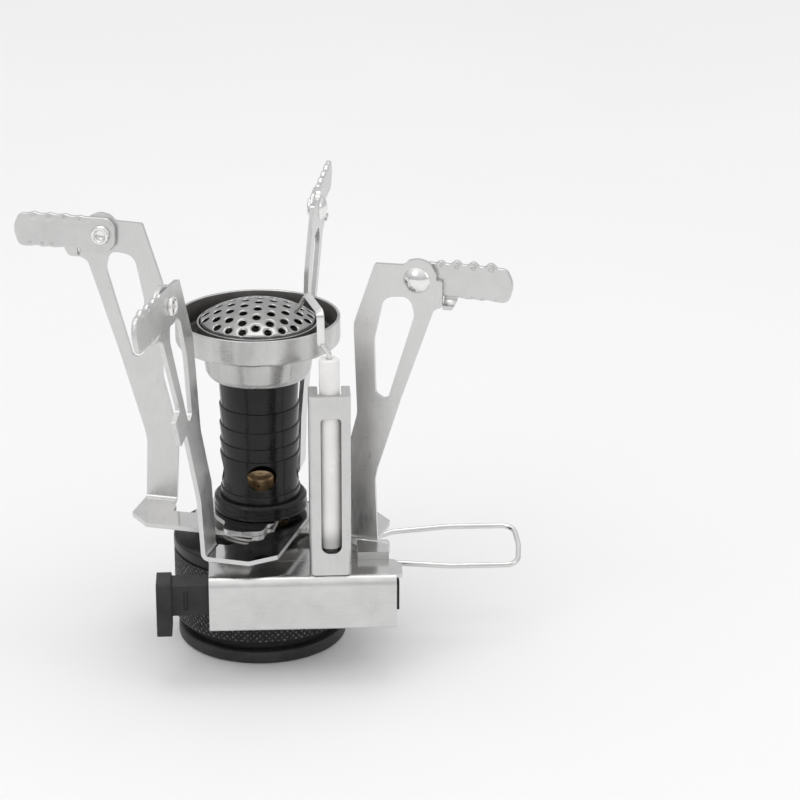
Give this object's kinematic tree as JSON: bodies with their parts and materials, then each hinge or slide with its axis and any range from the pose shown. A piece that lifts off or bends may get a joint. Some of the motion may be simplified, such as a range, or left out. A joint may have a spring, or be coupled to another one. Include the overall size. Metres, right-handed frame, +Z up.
{
  "type": "canister-top gas stove",
  "caption": "Small screw-on gas stove: perforated burner head on a black mixing tube, folding pot-support arms with hinged tips, piezo igniter and wire valve handle.",
  "frame": {"origin": "on the burner axis at the lowest face, the underside of the seat lip", "axes": "+Z up along the burner axis, +X towards the wire handle, -Y towards the igniter housing"},
  "size_m": [0.0999, 0.0969, 0.0843],
  "materials": {
    "collar_black": "black anodised, diamond knurled",
    "lip_grey": "dark grey, matte",
    "brass": "turned brass",
    "seal_rubber": "black rubber",
    "sintered": "sintered bronze",
    "steel_satin": "satin pressed stainless steel",
    "steel_ring": "turned stainless steel",
    "steel_dome": "bright perforated stainless steel",
    "steel_wire": "bright drawn wire",
    "rivet_steel": "polished rivet",
    "tube_black": "black anodised aluminium, gloss",
    "piezo_black": "black moulded plastic, satin",
    "ceramic_white": "white glazed ceramic",
    "lead_black": "black silicone wire"
  },
  "bodies": {
    "base": {"collar": "collar_black", "seat_lip": "lip_grey", "valve_core": "brass", "canister_seal": "seal_rubber", "depressor_pin": "brass", "gas_filter": "sintered", "gland_nut": "brass", "spindle_seal": "seal_rubber", "mixing_tube": "tube_black", "tube_nut": "tube_black", "jet": "brass", "burner_bowl": "steel_ring", "burner_ring": "steel_ring", "dome_rim": "steel_ring", "flame_dome": "steel_dome", "gauze": "steel_dome", "wave_washer": "steel_satin", "mount_bracket": "steel_satin", "igniter_housing": "steel_satin", "electrode_guard": "steel_satin", "ceramic_rod": "ceramic_white", "electrode": "steel_wire", "piezo_body": "piezo_black", "piezo_spring": "steel_wire", "end_plug": "piezo_black", "ignition_lead": "lead_black"},
    "arm_left": {"arm_left": "steel_satin", "rivet_left": "rivet_steel"},
    "tip_left": {"tip_left": "steel_satin"},
    "arm_right": {"arm_right": "steel_satin", "rivet_right": "rivet_steel"},
    "tip_right": {"tip_right": "steel_satin"},
    "arm_back": {"arm_back": "steel_satin", "rivet_back": "rivet_steel"},
    "tip_back": {"tip_back": "steel_satin"},
    "arm_front": {"arm_front": "steel_satin", "rivet_front": "rivet_steel"},
    "tip_front": {"tip_front": "steel_satin"},
    "spindle": {"needle_spindle": "brass"},
    "handle": {"wire_handle": "steel_wire"},
    "button": {"piezo_button": "piezo_black"}
  },
  "joints": [
    {"name": "swing_left", "type": "hinge", "parent": "base", "child": "arm_left", "pos_m": [0, 0, 0.025], "axis": [0, 0, 1], "range_deg": [-40, 0]},
    {"name": "tip_fold_left", "type": "hinge", "parent": "arm_left", "child": "tip_left", "pos_m": [-0.0301, 0.01597, 0.0788], "axis": [0.2987, 0.953, -0.0499], "range_deg": [0, 168]},
    {"name": "swing_right", "type": "hinge", "parent": "base", "child": "arm_right", "pos_m": [0, 0, 0.025], "axis": [0, 0, 1], "range_deg": [0, 68]},
    {"name": "tip_fold_right", "type": "hinge", "parent": "arm_right", "child": "tip_right", "pos_m": [0.02993, -0.01629, 0.0788], "axis": [-0.3086, -0.9499, -0.0499], "range_deg": [0, 168]},
    {"name": "swing_back", "type": "hinge", "parent": "base", "child": "arm_back", "pos_m": [0, 0, 0.025], "axis": [0, 0, 1], "range_deg": [-10, 0]},
    {"name": "tip_fold_back", "type": "hinge", "parent": "arm_back", "child": "tip_back", "pos_m": [0.01278, 0.03158, 0.0788], "axis": [0.9787, -0.2009, -0.042], "range_deg": [-7.5, 160]},
    {"name": "swing_front", "type": "hinge", "parent": "base", "child": "arm_front", "pos_m": [0, 0, 0.025], "axis": [0, 0, 1], "range_deg": [-70, 12]},
    {"name": "tip_fold_front", "type": "hinge", "parent": "arm_front", "child": "tip_front", "pos_m": [-0.0171, -0.02963, 0.0788], "axis": [-0.9474, 0.3133, -0.0659], "range_deg": [0, 168]},
    {"name": "spindle_turn", "type": "hinge", "parent": "base", "child": "spindle", "pos_m": [0.02, 0, 0.0172], "axis": [1, 0, 0], "range_deg": [0, 720]},
    {"name": "handle_fold", "type": "hinge", "parent": "spindle", "child": "handle", "pos_m": [0.0232, 0, 0.0172], "axis": [0, 0.9548, 0.2974], "range_deg": [-8, 75]},
    {"name": "igniter_press", "type": "slide", "parent": "base", "child": "button", "axis": [1, 0, 0], "range_m": [0, 0.005], "stiffness_N_per_m": 500, "springref_m": -0.002, "deforming": ["piezo_spring"]}
  ]
}
